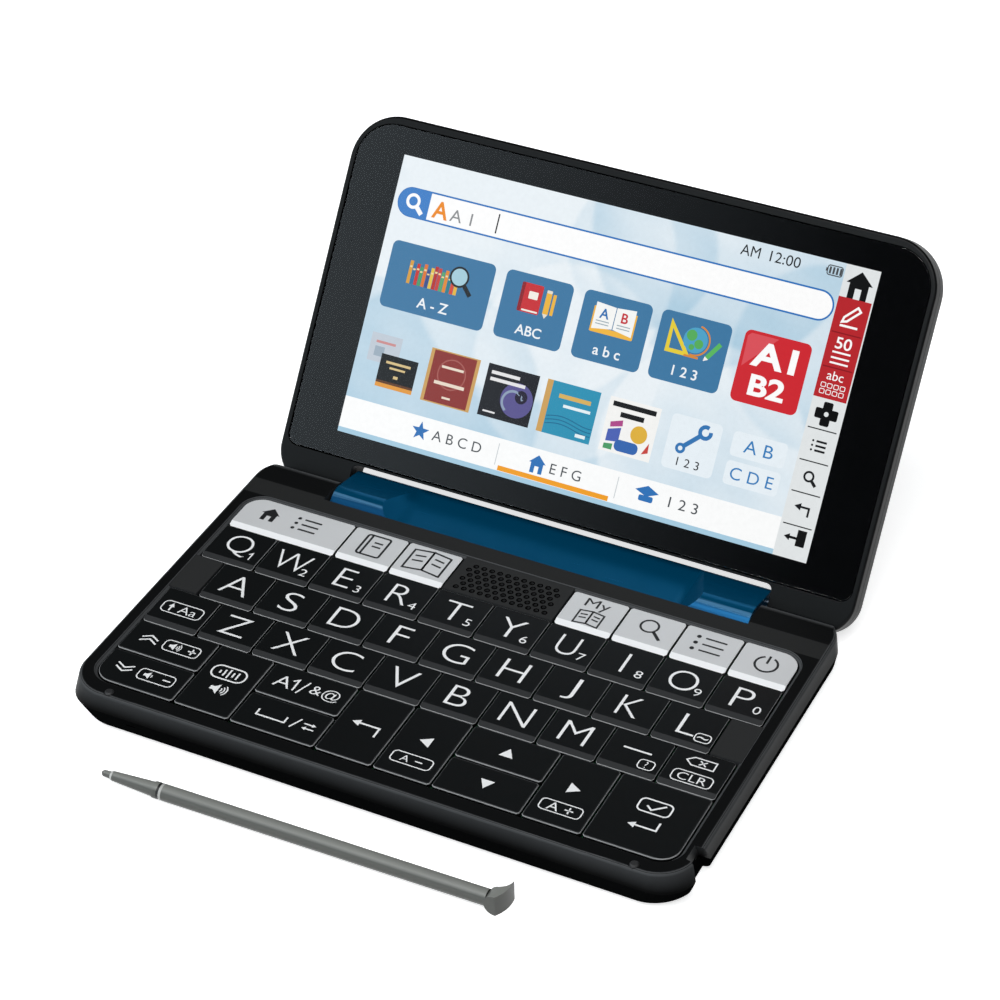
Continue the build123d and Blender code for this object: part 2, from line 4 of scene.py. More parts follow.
import bmesh
import bpy
import numpy as np
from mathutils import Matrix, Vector


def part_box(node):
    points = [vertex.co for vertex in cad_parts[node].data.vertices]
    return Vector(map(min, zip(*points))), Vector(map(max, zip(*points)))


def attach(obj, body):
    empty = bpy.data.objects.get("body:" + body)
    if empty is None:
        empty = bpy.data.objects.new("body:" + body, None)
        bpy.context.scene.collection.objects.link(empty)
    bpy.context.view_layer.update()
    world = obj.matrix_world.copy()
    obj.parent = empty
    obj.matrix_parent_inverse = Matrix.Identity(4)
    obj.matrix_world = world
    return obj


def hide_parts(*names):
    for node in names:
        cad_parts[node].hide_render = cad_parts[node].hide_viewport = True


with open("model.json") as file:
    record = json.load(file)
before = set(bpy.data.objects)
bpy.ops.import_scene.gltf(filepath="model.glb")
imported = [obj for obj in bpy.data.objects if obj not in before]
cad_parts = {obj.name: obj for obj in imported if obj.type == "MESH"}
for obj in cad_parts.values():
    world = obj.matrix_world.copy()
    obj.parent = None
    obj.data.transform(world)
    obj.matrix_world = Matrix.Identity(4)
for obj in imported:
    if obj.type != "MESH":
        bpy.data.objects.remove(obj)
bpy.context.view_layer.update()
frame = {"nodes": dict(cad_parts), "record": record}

# ---------------------------------------------------------------- studio
# A pale table top under one wide soft box, with a long one at the left. The room glows from the left
# front only. The camera looks down on the right front corner of the keyboard half.
scene = bpy.context.scene
scene.view_settings.view_transform = "Standard"

camera_data = bpy.data.cameras.new("camera")
camera_data.sensor_width = 36.0
camera_data.lens = 112.99
camera = bpy.data.objects.new("camera", camera_data)
camera.location = (0.25028, -0.47955, 0.46166)
camera.rotation_euler = [math.radians(angle) for angle in (52.9127, 0.5982, 26.1108)]
scene.collection.objects.link(camera)
scene.camera = camera


def soft_box(name, place, aim, width, height, power):
    """An area lamp at a place, turned to face a point."""
    data = bpy.data.lights.new(name, "AREA")
    data.shape = "RECTANGLE"
    data.size = width
    data.size_y = height
    data.energy = power
    lamp = bpy.data.objects.new(name, data)
    lamp.location = place
    lamp.rotation_euler = (Vector(aim) - Vector(place)).to_track_quat("-Z", "Y").to_euler()
    scene.collection.objects.link(lamp)


soft_box("top_box", (0.1, -0.5, 1.1), (0, 0, 0), 1.0, 0.7, 13)
soft_box("left_box", (-1.1, -0.3, 0.7), (0, 0, 0.03), 0.5, 0.9, 2.5)


def wire(node, inputs):
    """Links each named input of a node to a socket, or sets it to a value."""
    for name, value in inputs.items():
        socket = node.inputs[name]
        if isinstance(value, bpy.types.NodeSocket):
            node.id_data.links.new(value, socket)
        else:
            socket.default_value = (*value, 1) if socket.type == "RGBA" else value


def add_node(tree, kind, inputs=None, **settings):
    """A shader node of a kind; its settings come first, because they decide which inputs it has."""
    node = tree.nodes.new("ShaderNode" + kind)
    for setting, value in settings.items():
        setattr(node, setting, value)
    wire(node, inputs or {})
    return node


def ramp(tree, value, start, end, low=0.0, high=1.0, **settings):
    """Turns a value between start and end into one between low and high, and holds it there beyond them."""
    limits = {"From Min": start, "From Max": end, "To Min": low, "To Max": high}
    return add_node(tree, "MapRange", {"Value": value, **limits}, **settings).outputs["Result"]


def compute(tree, operation, *values):
    """One step of arithmetic on numbers or sockets."""
    return add_node(tree, "Math", dict(enumerate(values)), operation=operation).outputs["Value"]


def blend(tree, share, first, second):
    """Passes from the first colour to the second as the share goes from 0 to 1."""
    colors = {"Factor": share, "A": first, "B": second}
    return add_node(tree, "Mix", colors, data_type="RGBA").outputs["Result"]


def parts_of(tree, vector):
    """The X, Y and Z of a place or a normal."""
    return add_node(tree, "SeparateXYZ", {"Vector": vector}).outputs


world = bpy.data.worlds.new("room")
world.use_nodes = True
tree = world.node_tree
room = tree.nodes["Background"]
facing = parts_of(tree, add_node(tree, "TexCoord").outputs["Generated"])
most_glow, least_glow = 1.25, 0.05
glow = most_glow
for axis, start, end in (("X", -0.25, -0.46), ("Y", 0.15, -0.5)):
    side_glow = ramp(tree, facing[axis], start, end, interpolation_type="SMOOTHSTEP")
    glow = compute(tree, "MULTIPLY", side_glow, glow)
wire(room, {"Color": (0.78, 0.91, 1.0), "Strength": compute(tree, "ADD", glow, least_glow)})
backdrop = add_node(tree, "Background", {"Color": (0.97, 0.97, 0.97)})
seen = add_node(tree, "LightPath").outputs["Is Camera Ray"]
shown = {"Fac": seen, 1: room.outputs["Background"], 2: backdrop.outputs["Background"]}
pick = add_node(tree, "MixShader", shown)
wire(tree.nodes["World Output"], {"Surface": pick.outputs["Shader"]})
scene.world = world


def new_material(name, color, roughness, metallic=0.0, gloss=0.5):
    """A plain surface; its section adds the grain. Returns the material, its tree and its shader."""
    material = bpy.data.materials.new(name)
    material.use_nodes = True
    shader = material.node_tree.nodes["Principled BSDF"]
    wire(shader, {"Base Color": color, "Roughness": roughness, "Metallic": metallic,
                  "Specular IOR Level": gloss})
    return material, material.node_tree, shader


def new_piece(name, vertices, faces, material, body=None):
    """A mesh piece from arrays, at the origin, riding on a body."""
    mesh = bpy.data.meshes.new(name)
    mesh.from_pydata(np.asarray(vertices).tolist(), [], [tuple(int(i) for i in face) for face in faces])
    mesh.materials.append(material)
    piece = bpy.data.objects.new(name, mesh)
    scene.collection.objects.link(piece)
    if body:
        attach(piece, body)
    return piece


# the table shines only for rays that look at it, straight, mirrored or through glass, and more far away
table_paint, tree, shader = new_material("table_paint", (0.86, 0.86, 0.86), 0.9)
seen = add_node(tree, "LightPath").outputs
direct = compute(tree, "MAXIMUM", seen["Is Camera Ray"], seen["Is Glossy Ray"])
looked_at = compute(tree, "MAXIMUM", direct, seen["Is Transmission Ray"])
from_middle = {0: add_node(tree, "TexCoord").outputs["Object"]}
reach = add_node(tree, "VectorMath", from_middle, operation="LENGTH").outputs["Value"]
lift = compute(tree, "MULTIPLY", looked_at, ramp(tree, reach, 0.3, 1.2, 0.74, 1.0))
wire(shader, {"Emission Color": (1, 1, 1), "Emission Strength": lift})
table_half = 6
corners = [(x * table_half, y * table_half, 0) for x, y in ((-1, -1), (1, -1), (1, 1), (-1, 1))]
table_top = new_piece("table_top", corners, [(0, 1, 2, 3)], table_paint)

# ---------------------------------------------------------------- case mouldings
# The keyboard half is two injection-moulded shells of graphite and black plastic that meet at a seam
# round the side; the screen half is a thin inner frame on a deeper outer shell.
MM = 0.001
record = frame["record"]
body_of_node = {node: body for body, nodes in record["behaviour"]["bodies"].items() for node in nodes}


def grained(name, color, size, depth, low, high, shade=0.12, metallic=0.0, gloss=0.5):
    """A surface with fine grain of a size and depth in mm, which dents it and varies its roughness
    between low and high, and in wide clouds its colour. Returns the material, its tree and shader, the
    places on the surface and the varied colour."""
    material, tree, shader = new_material(name, color, low, metallic, gloss)
    place = add_node(tree, "TexCoord").outputs
    specks = {"Vector": place["Object"], "Scale": 1 / (size * MM), "Detail": 4}
    noise = add_node(tree, "TexNoise", specks).outputs["Fac"]
    dents = add_node(tree, "Bump", {"Height": noise, "Distance": depth * MM, "Strength": 1.0})
    cloud = add_node(tree, "TexNoise", {"Vector": place["Object"], "Scale": 60}).outputs["Fac"]
    color = np.array(shader.inputs["Base Color"].default_value[:3])
    tint = blend(tree, cloud, color * (1 - shade), color * (1 + shade))
    wire(shader, {"Base Color": tint, "Roughness": ramp(tree, noise, 0, 1, low, high),
                  "Normal": dents.outputs["Normal"]})
    return material, tree, shader, place, tint


def banded(tree, slope, paint, bands, most=1.0):
    """Paint that changes with one part of the normal. Each band gives a colour and the two values of
    that part between which it takes over, at most by the share given, from the paint before."""
    for color, start, end in bands:
        paint = blend(tree, ramp(tree, slope, start, end, 0.0, most), paint, color)
    return paint


def lean_painted_light(name, base, bands, size, depth, low, high, metallic=0.0, gloss=0.5):
    """Moulded plastic with painted highlights and painted shade: each face takes its colour by how far it
    leans from level.
    """
    material, tree, shader, place, tint = grained(name, base, size, depth, low, high, 0.06, metallic, gloss)
    paint = banded(tree, parts_of(tree, place["Normal"])["Z"], tint, bands)
    wire(shader, {"Base Color": paint})
    return material, tree, shader, place, paint


def finished(node, material, edge, angle=28):
    """A node's mesh with its corners welded, its sharp edges broken by a small round, and smooth faces."""
    mesh = frame["nodes"][node].data.copy()
    work = bmesh.new()
    work.from_mesh(mesh)
    bmesh.ops.remove_doubles(work, verts=work.verts, dist=1e-6)
    bmesh.ops.dissolve_limit(work, angle_limit=math.radians(0.3), verts=work.verts, edges=work.edges)
    work.to_mesh(mesh)
    work.free()
    mesh.materials.clear()
    mesh.materials.append(material)
    mesh.shade_smooth()
    mesh.set_sharp_from_angle(angle=math.radians(angle))
    piece = bpy.data.objects.new(node + "_finished", mesh)
    scene.collection.objects.link(piece)
    bevel = piece.modifiers.new("edge", "BEVEL")
    bevel.width = edge * MM
    bevel.segments = 2
    bevel.limit_method = "ANGLE"
    bevel.angle_limit = math.radians(angle)
    bevel.use_clamp_overlap = True
    bevel.harden_normals = True
    even = piece.modifiers.new("even", "WEIGHTED_NORMAL")
    even.keep_sharp = True
    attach(piece, body_of_node[node])
    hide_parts(node)
    return piece


graphite_color = (0.0095, 0.0105, 0.011)
graphite, tree, shader, place, _ = grained("case_graphite", graphite_color, 0.35, 0.004, 0.26, 0.4, gloss=0.1)
# painted shade: the frame's side faces and the band along its top, which faces up, are painted darker than
# its front
normal = parts_of(tree, place["Normal"])
sideways = ramp(tree, compute(tree, "ABSOLUTE", normal["X"]), 0.3, 0.8)
frame_painted_shade = compute(tree, "MAXIMUM", sideways, ramp(tree, normal["Z"], 0.62, 0.8))
wire(shader, {"Base Color": blend(tree, frame_painted_shade, graphite_color, (0.0015, 0.0016, 0.0017))})
skirt_black = grained("skirt_black", (0.0034, 0.0036, 0.0037), 0.3, 0.006, 0.42, 0.55, gloss=0.0)[0]
lid_black = grained("lid_black", (0.0035, 0.0038, 0.004), 0.3, 0.004, 0.3, 0.42, gloss=0.04)[0]

# the upper moulding: a painted highlight along the crest of its rim, and painted shade on its wall that
# deepens downwards; the strip behind the keys and the sunk plate of the fillers and the grille are a
# little lighter than the rest
wall_foot, wall_top, strip_y, strip_half = 6.4, 10.4, 34.3, 2.8
plate_top, plate_give = 10.6, 0.05
case_top, tree, shader, place, tint = grained("case_top", (0.0055, 0.0058, 0.006), 0.35, 0.006, 0.28, 0.42,
                                              0.06, gloss=0.02)
at = parts_of(tree, place["Object"])
on_wall = ramp(tree, at["Z"], wall_foot * MM, wall_top * MM)
on_strip = compute(tree, "COMPARE", at["Y"], strip_y * MM, strip_half * MM)
on_plate = compute(tree, "COMPARE", at["Z"], plate_top * MM, plate_give * MM)
wall_painted_shade = blend(tree, on_wall, (0.0016, 0.0017, 0.0018), (0.038, 0.04, 0.042))
level_shade = blend(tree, on_strip, tint, (0.021, 0.0215, 0.0215))
# a painted highlight on the crest of the rim's top round, then the wall's painted shade on steep faces
paint = banded(tree, parts_of(tree, place["Normal"])["Z"], level_shade,
               (((0.075, 0.078, 0.081), 0.985, 0.9), (wall_painted_shade, 0.85, 0.3)))
wire(shader, {"Base Color": blend(tree, on_plate, paint, (0.026, 0.0265, 0.0268))})
finished("base_top_cover", case_top, 0.12)
finished("base_bottom_cover", skirt_black, 0.12)
finished("lid_front_frame", graphite, 0.1)
finished("lid_back_cover", lid_black, 0.12)

# ---------------------------------------------------------------- rubber feet and bumpers
# Four round feet and two little bumpers of black rubber, glued into round seats: the feet under the
# case, the bumpers on the front of its rim.
finished("rubber_pads", grained("rubber", (0.014, 0.014, 0.015), 0.2, 0.01, 0.5, 0.7)[0], 0.12)

# ---------------------------------------------------------------- hinge bar
# A machined bar, anodised blue and brushed along its length, with steel pins pressed into its ends.
# A painted highlight and a band of painted shade run along its rolls, and fade out on faces that turn towards
# its ends.
bar_blue = (0.0, 0.105, 0.235)
roll_highlight_and_shade = (((0.13, 0.38, 0.67), -0.26, -0.36), ((0.0, 0.05, 0.13), -0.37, -0.52))
anodised, tree, shader = new_material("anodised_blue", bar_blue, 0.3, 0.65, 0.2)
place = add_node(tree, "TexCoord").outputs
stretched = add_node(tree, "Mapping", {"Vector": place["Object"], "Scale": (60, 6000, 6000)})
streaks = {"Vector": stretched.outputs["Vector"], "Scale": 1.0, "Detail": 3}
brush = add_node(tree, "TexNoise", streaks).outputs["Fac"]
dents = add_node(tree, "Bump", {"Height": brush, "Distance": 0.004 * MM})
normal = parts_of(tree, place["Normal"])
along_roll = ramp(tree, compute(tree, "ABSOLUTE", normal["X"]), 0.15, 0.05)
wire(shader, {"Base Color": banded(tree, normal["Y"], bar_blue, roll_highlight_and_shade, along_roll),
              "Roughness": ramp(tree, brush, 0, 1, 0.2, 0.3), "Normal": dents.outputs["Normal"]})
finished("hinge_bar", anodised, 0.25, 20)

steel = grained("turned_steel", (0.5, 0.5, 0.51), 0.15, 0.003, 0.2, 0.4, metallic=1.0)[0]
for slot in frame["nodes"]["hinge_pins"].material_slots:
    slot.material = steel

# ---------------------------------------------------------------- keys
# Separate moulded caps, black or silver, each on its own plunger. Most have a wide bevel along the
# front, and the cursor and function keys at the front have a fine bevel all round. The caps are painted
# by lean: a painted highlight on the front bevel and on the rounds of their edges, and painted shade on
# their upright sides.
key_names = sorted(node for node in frame["nodes"] if node.startswith("key_") and node != "key_board")
silver_keys = {"key_home", "key_book_a", "key_book_b", "key_list", "key_example", "key_study", "key_power"}
# painted highlights on the front bevel and the edge rounds, and painted shade on the upright sides, on black
# and silver caps alike
black_cap = lean_painted_light("black_cap", (0.0042, 0.0047, 0.0049), (
    ((0.026, 0.027, 0.028), 0.985, 0.965), ((0.34, 0.345, 0.35), 0.84, 0.7),
    ((0.002, 0.002, 0.002), 0.3, 0.12)), 0.25, 0.003, 0.3, 0.42, gloss=0.25)[0]
silver_cap = lean_painted_light("silver_cap", (0.62, 0.625, 0.63), (
    ((0.9, 0.905, 0.91), 0.985, 0.965), ((0.92, 0.92, 0.925), 0.9, 0.8),
    ((0.04, 0.04, 0.042), 0.25, 0.1)), 0.25, 0.002, 0.34, 0.44, 0.1)[0]
for name in key_names:
    finished(name, silver_cap if name in silver_keys else black_cap, 0.15)

# ---------------------------------------------------------------- key legends
# Thin white or black print on the caps: letters, digits, arrows and plain signs. Each is drawn in mm
# about the middle of its cap, and rides on it.
white_ink = grained("white_ink", (0.82, 0.82, 0.82), 0.1, 0.001, 0.45, 0.55, 0.03)[0]
black_ink = grained("black_ink", (0.01, 0.01, 0.011), 0.1, 0.001, 0.45, 0.55, 0.03)[0]


def ring(x, y, radius, start=0.0, end=360.0, count=28):
    """Points on an arc: the centre plus the radius times the cosine and sine of each angle."""
    angle = np.radians(np.linspace(start, end, count))
    return np.stack([x + radius * np.cos(angle), y + radius * np.sin(angle)], 1)


def circle(x, y, radius, count=28):
    """A whole circle, without the last point that would repeat the first."""
    return ring(x, y, radius, count=count)[:-1]


def frame_path(x, y, width, height, radius, steps=6):
    """A rectangle with round corners: four quarter arcs joined end to end."""
    a, b = width / 2 - radius, height / 2 - radius
    corners = [(a, b, 0), (-a, b, 90), (-a, -b, 180), (a, -b, 270)]
    return np.concatenate([ring(x + dx, y + dy, radius, turn, turn + 90, steps) for dx, dy, turn in corners])


def stroke(path, width, closed=False):
    """A line of even width: each point is moved both ways along the mean of its neighbours' normals,
    by half the width over the cosine of half the turn."""
    path = np.asarray(path, float)
    if closed:
        before, after = path - np.roll(path, 1, 0), np.roll(path, -1, 0) - path
    else:
        step = np.diff(path, axis=0)
        before, after = np.concatenate([step[:1], step]), np.concatenate([step, step[-1:]])
    before /= np.linalg.norm(before, axis=1, keepdims=True)
    after /= np.linalg.norm(after, axis=1, keepdims=True)
    mean = before + after
    mean /= np.linalg.norm(mean, axis=1, keepdims=True)
    normal = np.stack([-mean[:, 1], mean[:, 0]], 1)
    reach = width / 2 / np.maximum(np.sum(mean * after, axis=1), 0.4)[:, None]
    count = len(path)
    points = np.concatenate([path + normal * reach, path - normal * reach])
    first = np.arange(count if closed else count - 1)
    second = (first + 1) % count
    return points, np.stack([first, first + count, second + count, second], 1)


def framed(line, x, y, width, height, radius, steps=6):
    """The outline of a rectangle with round corners, drawn as a line of even width."""
    return stroke(frame_path(x, y, width, height, radius, steps), line, True)


def patch(path):
    """One flat face inside a closed path, turned over if the path runs clockwise."""
    path = np.asarray(path, float)
    after = np.roll(path, -1, 0)
    turning = np.sum(path[:, 0] * after[:, 1] - after[:, 0] * path[:, 1])
    return path, [list(range(len(path)))[::1 if turning > 0 else -1]]


def glyph(text, x, y, height, wide=1.0, thin=0.0):
    """Characters in the built-in face, made a mesh, thinned, and scaled to a height about a centre."""
    curve = bpy.data.curves.new("glyph", "FONT")
    curve.body = text
    curve.offset = -thin
    curve.resolution_u = 6
    holder = bpy.data.objects.new("glyph", curve)
    scene.collection.objects.link(holder)
    mesh = bpy.data.meshes.new_from_object(holder.evaluated_get(bpy.context.evaluated_depsgraph_get()))
    points = np.zeros(len(mesh.vertices) * 3)
    mesh.vertices.foreach_get("co", points)
    points = points.reshape(-1, 3)[:, :2]
    faces = [list(face.vertices) for face in mesh.polygons]
    low, high = points.min(0), points.max(0)
    scale = height / (high[1] - low[1])
    points = (points - (low + high) / 2) * scale * [wide, 1] + [x, y]
    bpy.data.objects.remove(holder)
    bpy.data.curves.remove(curve)
    bpy.data.meshes.remove(mesh)
    return points, faces


def join(parts):
    """Several drawings in one array of points and one list of faces."""
    points, faces, count = [], [], 0
    for part_points, part_faces in parts:
        points.append(part_points)
        faces += [[int(index) + count for index in face] for face in part_faces]
        count += len(part_points)
    return np.concatenate(points), faces


def house(x, y, size):
    """A gabled house with a door."""
    outline = [(-0.5, 0.05), (-0.36, 0.05), (-0.36, -0.5), (-0.12, -0.5), (-0.12, -0.12), (0.12, -0.12),
               (0.12, -0.5), (0.36, -0.5), (0.36, 0.05), (0.5, 0.05), (0.0, 0.5)]
    return [patch(np.array(outline) * size + [x, y])]


def open_book(x, y, size, width):
    """Two pages seen from the front, with a spine and two lines of print."""
    page = np.array([(0, -0.34), (0.5, -0.42), (0.5, 0.34), (0, 0.42)]) * size
    marks = [stroke(page + [x, y], width, True), stroke(page * [-1, 1] + [x, y], width, True)]
    for side in (-1, 1):
        for level in (0.16, -0.04):
            line = np.array([(0.12 * side, level + 0.02), (0.4 * side, level - 0.03)]) * size
            marks.append(stroke(line + [x, y], width))
    return marks


def closed_book(x, y, size, width):
    """A standing book with its spine band and a label."""
    marks = [framed(width, x, y, 0.72 * size, 0.9 * size, 0.08 * size)]
    marks.append(stroke(np.array([(-0.22, -0.45), (-0.22, 0.45)]) * size + [x, y], width))
    marks.append(stroke(np.array([(-0.05, 0.16), (0.22, 0.16)]) * size + [x, y], width))
    marks.append(stroke(np.array([(-0.05, -0.02), (0.22, -0.02)]) * size + [x, y], width))
    return marks


def list_sign(x, y, size, width):
    """Three lines with a dot before each."""
    marks = []
    for level in (0.3, 0.0, -0.3):
        marks.append(stroke(np.array([(-0.2, level), (0.5, level)]) * size + [x, y], width))
        marks.append(patch(circle(x - 0.42 * size, y + level * size, 0.075 * size, count=12)))
    return marks


def lens_sign(x, y, size, width):
    """A magnifier."""
    marks = [stroke(circle(x - 0.1 * size, y + 0.1 * size, 0.3 * size), width, True)]
    marks.append(stroke(np.array([(0.12, -0.12), (0.45, -0.45)]) * size + [x, y], width * 1.5))
    return marks


def pencil_sign(x, y, size, width):
    """A slanted pencil over a line."""
    body = np.array([(-0.34, -0.3), (-0.28, -0.08), (0.24, 0.44), (0.4, 0.28), (-0.12, -0.24)]) * size
    return [stroke(body + [x, y], width, True),
            stroke(np.array([(-0.4, -0.46), (0.42, -0.46)]) * size + [x, y], width)]


def speaker_sign(x, y, size, waves, width):
    """A loudspeaker with sound waves."""
    body = np.array([(-0.42, 0.14), (-0.2, 0.14), (0.08, 0.4), (0.08, -0.4), (-0.2, -0.14), (-0.42, -0.14)])
    marks = [patch(body * size + [x, y])]
    for wave in range(waves):
        marks.append(stroke(ring(x + 0.08 * size, y, (0.18 + 0.16 * wave) * size, -48, 48, 9), width))
    return marks


def power_sign(x, y, radius, width):
    """A broken ring with a bar through its gap."""
    return [stroke(ring(x, y, radius, 115, 425, 40), width),
            stroke([(x, y + 0.1 * radius), (x, y + 1.15 * radius)], width)]


def triangle(x, y, size, turn):
    """A solid arrow head, turned from pointing right."""
    angle = math.radians(turn)
    spin = np.array([(math.cos(angle), math.sin(angle)), (-math.sin(angle), math.cos(angle))])
    return patch(np.array([(-0.42, -0.55), (0.5, 0.0), (-0.42, 0.55)]) * size @ spin + [x, y])


def one(x, y, size, width):
    """The digit one with its flag."""
    return stroke(np.array([(-0.24, 0.26), (0.06, 0.5), (0.06, -0.5)]) * size + [x, y], width)


def chevrons(x, y, size, up, width):
    """Two nested roof lines."""
    roof = np.array([(-0.5, -0.14), (0.0, 0.14), (0.5, -0.14)]) * size * [1, up]
    return [stroke(roof + [x, y - up * 0.15 * size], width), stroke(roof + [x, y + up * 0.15 * size], width)]


def arrow(path, width, head):
    """A line that ends in an arrow head."""
    path = np.asarray(path, float)
    along = path[-1] - path[-2]
    along = along / np.linalg.norm(along)
    across = np.array([-along[1], along[0]])
    tip = patch([path[-1] + along * head, path[-1] + across * head * 0.55, path[-1] - across * head * 0.55])
    return [stroke(path, width), tip]


letter_height, letter_line = 6.6, 0.016
letter_wide = dict(o=0.98, q=0.98, g=1.15, c=1.13, m=1.05, w=0.88, i=1.0, j=1.6, s=1.32, a=1.12, x=1.04,
                   u=0.9, v=1.2, f=1.2, r=1.04, k=0.96)
letter_tall = dict(q=1.14, j=1.12)
digit_of = dict(zip("qwertyuiop", "1234567890"))
ink_lift = 0.015
thin_line, bold_line = 0.28, 0.42

# what is printed on each of the other keys, about the middle of its cap
signs = {
    "key_home": house(-6.6, 1.1, 4.8) + list_sign(3.2, 1.0, 6.4, 0.55),
    "key_book_a": closed_book(0, 0.9, 8.2, 0.55),
    "key_book_b": open_book(0, 0.9, 9.4, 0.52),
    "key_list": [glyph("My", 0, 3.1, 3.9, 1.25)] + open_book(0, -1.7, 6.0, 0.45),
    "key_example": lens_sign(0.2, 0.9, 7.0, 0.52),
    "key_study": list_sign(0, 0.9, 7.4, 0.52),
    "key_power": power_sign(0, 0.5, 2.6, 0.55),
    "key_shift": [framed(thin_line, 0, 0.1, 10.2, 3.9, 1.2)]
                 + arrow([(-2.9, -1.3), (-2.9, 0.2)], bold_line, 1.3)
                 + [glyph("Aa", 1.4, 0.1, 2.5, 1.15, 0.004)],
    "key_long_dash": [stroke([(-3.2, 0.9), (3.4, 0.9)], 0.5), framed(thin_line, 3.6, -2.6, 3.6, 2.9, 0.9),
                      glyph("?", 3.6, -2.6, 2.0, 1.0, 0.01)],
    "key_delete": [stroke([(-3.4, 2.9), (-1.9, 4.2), (3.2, 4.2), (3.2, 1.6), (-1.9, 1.6)], 0.34, True),
                   stroke([(-0.4, 3.6), (1.2, 2.2)], 0.34), stroke([(-0.4, 2.2), (1.2, 3.6)], 0.34),
                   framed(thin_line, 0, -2.4, 9.2, 3.6, 1.1), glyph("CLR", 0, -2.4, 2.3, 1.15, 0.004)],
    "key_volume_up": chevrons(-4.9, 0.1, 4.2, 1, bold_line)
                     + [framed(thin_line, 3.4, 0.0, 9.0, 3.6, 1.1), stroke([(5.1, 0), (7.1, 0)], 0.4),
                        stroke([(6.1, -1.0), (6.1, 1.0)], 0.4)] + speaker_sign(1.5, 0, 3.0, 3, 0.24),
    "key_volume_down": chevrons(-4.9, 0.1, 4.2, -1, bold_line)
                       + [framed(thin_line, 3.4, 0.0, 9.0, 3.6, 1.1), stroke([(5.1, 0), (7.1, 0)], 0.4)]
                       + speaker_sign(1.5, 0, 3.0, 1, 0.24),
    "key_voice": [framed(bold_line, -0.3, 2.6, 8.4, 4.2, 1.9, 8)]
                 + [stroke([(x - 0.3, 2.6 - reach), (x - 0.3, 2.6 + reach)], bold_line)
                    for x, reach in ((-2.2, 0.5), (-1.1, 1.1), (0.0, 1.5), (1.1, 0.8), (2.2, 1.2))]
                 + speaker_sign(-0.2, -2.9, 4.2, 3, 0.3),
    "key_symbol": [glyph("A", -5.8, 0.1, 3.7, 1.15, 0.008), one(-2.9, 0.1, 3.7, bold_line),
                   stroke([(-1.6, -2.2), (0.0, 2.2)], 0.36), glyph("&@", 4.6, 0.1, 3.9, 1.1, 0.006)],
    "key_space": [stroke([(-6.0, 0.9), (-6.0, -1.0), (1.0, -1.0), (1.0, 0.9)], bold_line),
                  stroke([(2.6, -1.7), (4.2, 1.7)], 0.36)]
                 + arrow([(5.2, 0.7), (7.2, 0.7)], 0.36, 1.0) + arrow([(8.2, -0.7), (6.2, -0.7)], 0.36, 1.0),
    "key_back": arrow([(3.2, -2.4), (3.2, 0.6), (-1.6, 0.6)], 0.5, 1.9),
    "key_left": [triangle(0, 1.3, 3.0, 180), framed(thin_line, 0, -5.4, 9.6, 3.4, 1.0),
                 glyph("A", -1.6, -5.4, 1.9, 1.1, 0.004), stroke([(0.8, -5.4), (2.6, -5.4)], 0.34)],
    "key_right": [triangle(0, 1.3, 3.0, 0), framed(thin_line, 0, -5.4, 9.6, 3.4, 1.0),
                  glyph("A", -1.7, -5.4, 2.5, 1.1, 0.004), stroke([(0.9, -5.4), (2.9, -5.4)], 0.34),
                  stroke([(1.9, -6.4), (1.9, -4.4)], 0.34)],
    "key_up": [triangle(0, 0.0, 3.0, 90)],
    "key_down": [triangle(0, 0.2, 3.0, 270)],
    "key_enter": [framed(0.4, 0.2, 3.4, 7.4, 4.0, 1.2), stroke([(-1.6, 3.4), (-0.3, 2.3), (2.4, 4.6)], 0.46)]
                 + arrow([(3.2, -0.6), (3.2, -3.2), (-1.6, -3.2)], 0.46, 1.7),
}
for name in key_names:
    letter = name[4:]
    if len(letter) == 1:
        height = letter_height * letter_tall.get(letter, 1.0)
        drawing = [glyph(letter.upper(), -0.2, 0.3, height, letter_wide.get(letter, 1.1), letter_line)]
        if letter == "q":
            drawing.append(one(4.1, -2.2, 2.5, 0.34))
        elif letter in digit_of:
            drawing.append(glyph(digit_of[letter], 4.1, -2.2, 2.5, 1.15, 0.004))
        if letter == "l":
            drawing += [framed(thin_line, 4.1, -2.6, 3.6, 2.7, 0.9), glyph("~", 4.1, -2.6, 0.75)]
    else:
        drawing = signs[name]
    points, faces = join(drawing)
    low, high = (np.array(corner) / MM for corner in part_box(name))
    middle = (low + high) / 2
    rise = np.full(len(points), high[2] + ink_lift)
    flat = np.stack([points[:, 0] + middle[0], points[:, 1] + middle[1], rise], 1)
    ink = black_ink if name in silver_keys else white_ink
    legend = new_piece(name + "_legend", flat * MM, faces, ink, body_of_node[name])

# ---------------------------------------------------------------- grille hole shade
# Painted shade: a flat dark ring round each hole of the speaker grille, lying on the sunk plate, makes the
# holes look larger and darker. The rings keep the holes' own staggered pattern: even rows have one hole
# more than odd ones.
hole_rows, most_holes, hole_pitch_x, hole_pitch_y, shade_ring_radius, shade_ring_line = 6, 12, 2.05, 1.7, 0.56, 0.3
grille_low, grille_high = (np.array(corner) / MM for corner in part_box("key_book_b"))
grille_y = (grille_low[1] + grille_high[1]) / 2
shade_rings = []
for row in range(hole_rows):
    holes = most_holes - row % 2
    y = grille_y + (row - (hole_rows - 1) / 2) * hole_pitch_y
    for column in range(holes):
        x = (column - (holes - 1) / 2) * hole_pitch_x
        shade_rings.append(stroke(circle(x, y, shade_ring_radius, 12), shade_ring_line, True))
points, faces = join(shade_rings)
flat = np.column_stack([points, np.full(len(points), plate_top + ink_lift)])
painted_hole_shade = new_material("painted_hole_shade", (0.0008, 0.0008, 0.0008), 0.9, gloss=0.0)[0]
hole_shade_piece = new_piece("grille_hole_shade", flat * MM, faces, painted_hole_shade, body_of_node["base_top_cover"])

